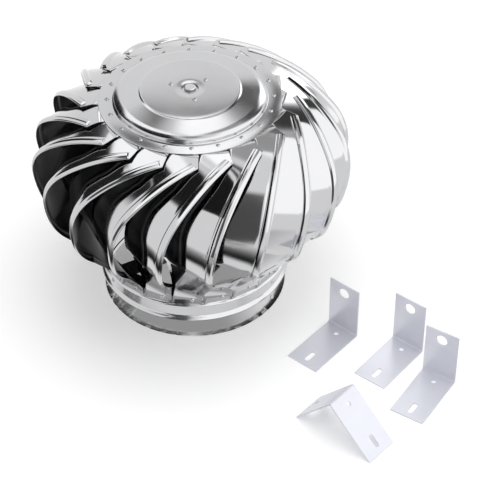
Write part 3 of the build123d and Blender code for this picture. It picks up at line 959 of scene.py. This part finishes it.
def studio_screen(name, azimuths, reaches, level, soft, distance=0.0, ends=()):
    """A curved screen at a distance, or a flat mat of painted shadow on the floor, that only reflections
    see.

    The reaches are a screen's lower and upper elevation, or a mat's inner and outer radius. The edges
    fade over the soft angle, and a mat's two round ends over the widths in ends.
    """
    middle = Vector((0.0, 0.0, MAT_LEVEL if ends else SCREEN_CENTRE))
    first, span = azimuths[0], azimuths[1] - azimuths[0]
    low, high = reaches
    rail = []
    for step in range(SCREEN_STEPS + 1):
        reach = low + (high - low) * step / SCREEN_STEPS
        if ends:
            rail.append(outward(radians(first), reach, 0.0))
        else:
            tilt = radians(reach)
            rail.append(outward(radians(first), distance * cos(tilt), distance * sin(tilt)))
    bm = bmesh.new()
    verts = [bm.verts.new(middle + point) for point in rail]
    edges = [bm.edges.new(pair) for pair in zip(verts, verts[1:])]
    bmesh.ops.spin(
        bm, geom=verts + edges, cent=middle, axis=(0, 0, 1), dvec=(0, 0, 0),
        angle=radians(span), steps=SCREEN_STEPS, use_duplicate=False,
    )
    mesh = bpy.data.meshes.new(name)
    bm.to_mesh(mesh)
    bm.free()
    fade = mesh.attributes.new("fade", "FLOAT", "POINT")
    low_soft, high_soft = ends or (soft, soft)
    for number, vert in enumerate(mesh.vertices):
        offset = vert.co - middle
        turn = (degrees(atan2(offset.x, -offset.y)) - first) % 360
        turn = turn if turn <= span + 1 else turn - 360
        if ends:
            reach = hypot(offset.x, offset.y)
        else:
            reach = degrees(asin(max(-1.0, min(1.0, offset.z / distance))))
        sides = ((reach - low) / low_soft, (high - reach) / high_soft)
        fade.data[number].value = smooth_step(min(turn / soft, (span - turn) / soft, *sides))
    screen = bpy.data.objects.new(name, mesh)
    bpy.context.scene.collection.objects.link(screen)
    mesh.materials.append(screen_surface(name, level))
    screen.visible_camera = False
    screen.visible_diffuse = False
    screen.visible_shadow = False


def math_node(nodes, links, operation, first, second):
    """A node that works out one operation, held from 0 to 1, on two outputs."""
    node = nodes.new("ShaderNodeMath")
    node.operation = operation
    node.use_clamp = True
    links.new(first, node.inputs[0])
    links.new(second, node.inputs[1])
    return node.outputs[0]


class VENT_OT_studio(Operator):
    """Sets up the surroundings, floor, lamps, screens, mats and camera"""

    bl_idname = "vent.studio"
    bl_label = "Studio"

    def execute(self, context):
        studio = context.scene.vent_studio
        context.scene.view_settings.view_transform = "Standard"
        self.make_world(studio)
        self.make_floor(studio)
        for name, width, depth, location, target, part in LAMPS:
            soft_lamp(name, width, depth, location, target, studio.lamps * part)
        for name, azimuths, elevations, level, soft, distance in SCREENS:
            studio_screen(name, azimuths, elevations, level, soft, distance=distance)
        for name, azimuths, radii, level, soft, ends in PAINTED_SHADE_MATS:
            studio_screen(name, azimuths, radii, level, soft, ends=ends)
        camera = bpy.data.cameras.new("camera")
        camera.lens = studio.lens
        camera.sensor_width = CAMERA_SENSOR
        holder = bpy.data.objects.new("camera", camera)
        context.scene.collection.objects.link(holder)
        holder.location = CAMERA_PLACE
        holder.rotation_euler = (CAMERA_TILT, 0.0, 0.0)
        context.scene.camera = holder
        return {"FINISHED"}

    def make_world(self, studio):
        """Pale surroundings: white to the camera and to reflections, softer as light."""
        world = bpy.data.worlds.new("pale_room")
        bpy.context.scene.world = world
        world.use_nodes = True
        nodes, links = world.node_tree.nodes, world.node_tree.links
        background = nodes["Background"]
        background.inputs["Color"].default_value = (1, 1, 1, 1)
        path = nodes.new("ShaderNodeLightPath").outputs
        seen = math_node(nodes, links, "ADD", path["Is Camera Ray"], path["Is Glossy Ray"])
        seen = math_node(nodes, links, "ADD", seen, path["Is Transmission Ray"])
        level = nodes.new("ShaderNodeMapRange")
        level.inputs["To Min"].default_value = studio.world
        level.inputs["To Max"].default_value = 1.0
        links.new(seen, level.inputs["Value"])
        links.new(level.outputs["Result"], background.inputs["Strength"])

    def make_floor(self, studio):
        """Pale floor that keeps the object's shadow, shines a little to the camera and mirrors white."""
        bm = bmesh.new()
        bmesh.ops.create_grid(bm, x_segments=1, y_segments=1, size=studio.floor)
        mesh = bpy.data.meshes.new("floor")
        bm.to_mesh(mesh)
        bm.free()
        floor = bpy.data.objects.new("floor", mesh)
        bpy.context.scene.collection.objects.link(floor)
        pale = bpy.data.materials.new("pale_floor")
        pale.use_nodes = True
        nodes, links = pale.node_tree.nodes, pale.node_tree.links
        path = nodes.new("ShaderNodeLightPath").outputs
        spot = nodes.new("ShaderNodeTexCoord")
        reach = nodes.new("ShaderNodeVectorMath")
        reach.operation = "LENGTH"
        links.new(spot.outputs["Object"], reach.inputs[0])
        far = nodes.new("ShaderNodeMapRange")
        far.inputs["From Min"].default_value = GLOW_NEAR
        far.inputs["From Max"].default_value = GLOW_FAR
        far.inputs["To Min"].default_value = studio.glow
        far.inputs["To Max"].default_value = studio.far_glow
        links.new(reach.outputs["Value"], far.inputs["Value"])
        glow = math_node(nodes, links, "MULTIPLY", path["Is Camera Ray"], far.outputs["Result"])
        shader = nodes["Principled BSDF"]
        shader.inputs["Base Color"].default_value = (FLOOR_TONE, FLOOR_TONE, FLOOR_TONE, 1.0)
        shader.inputs["Roughness"].default_value = 0.9
        shader.inputs["Specular IOR Level"].default_value = 0.1
        shader.inputs["Emission Color"].default_value = (1, 1, 1, 1)
        links.new(glow, shader.inputs["Emission Strength"])
        white = nodes.new("ShaderNodeEmission")
        white.inputs["Strength"].default_value = 1.0
        seen = math_node(nodes, links, "MAXIMUM", path["Is Glossy Ray"], path["Is Transmission Ray"])
        mirrored = nodes.new("ShaderNodeMixShader")
        links.new(seen, mirrored.inputs["Fac"])
        links.new(shader.outputs["BSDF"], mirrored.inputs[1])
        links.new(white.outputs["Emission"], mirrored.inputs[2])
        links.new(mirrored.outputs["Shader"], nodes["Material Output"].inputs["Surface"])
        mesh.materials.append(pale)


# Panel and registration


class VENT_PT_panel(Panel):
    """Lists the ventilator's pieces in the sidebar"""

    bl_idname = "VENT_PT_panel"
    bl_label = "Roof turbine ventilator"
    bl_space_type = "VIEW_3D"
    bl_region_type = "UI"
    bl_category = "Ventilator"

    def draw(self, context):
        for operator in OPERATORS:
            self.layout.operator(operator.bl_idname)
        for name, group in GROUPS:
            settings = getattr(context.scene, name)
            for size in group.__annotations__:
                self.layout.prop(settings, size)


OPERATORS = (
    VENT_OT_vanes,
    VENT_OT_cap,
    VENT_OT_ring,
    VENT_OT_neck,
    VENT_OT_rivets,
    VENT_OT_inner_parts,
    VENT_OT_studio,
)
GROUPS = (
    ("vent_vane", VaneSizes),
    ("vent_cap", CapSizes),
    ("vent_collar", CollarSizes),
    ("vent_rivet", RivetSizes),
    ("vent_finish", Finishes),
    ("vent_studio", StudioSizes),
)


def register():
    """Registers the property groups, operators and panel."""
    for name, group in GROUPS:
        bpy.utils.register_class(group)
        setattr(bpy.types.Scene, name, PointerProperty(type=group))
    for item in (*OPERATORS, VENT_PT_panel):
        bpy.utils.register_class(item)


def unregister():
    """Removes what register added."""
    for item in reversed((*OPERATORS, VENT_PT_panel)):
        bpy.utils.unregister_class(item)
    for name, group in reversed(GROUPS):
        delattr(bpy.types.Scene, name)
        bpy.utils.unregister_class(group)


def main():
    """Makes every piece and the studio."""
    register()
    bpy.ops.vent.vanes()
    bpy.ops.vent.cap()
    bpy.ops.vent.ring()
    bpy.ops.vent.neck()
    bpy.ops.vent.rivets()
    bpy.ops.vent.inner_parts()
    bpy.ops.vent.studio()


if __name__ == "__main__":
    main()
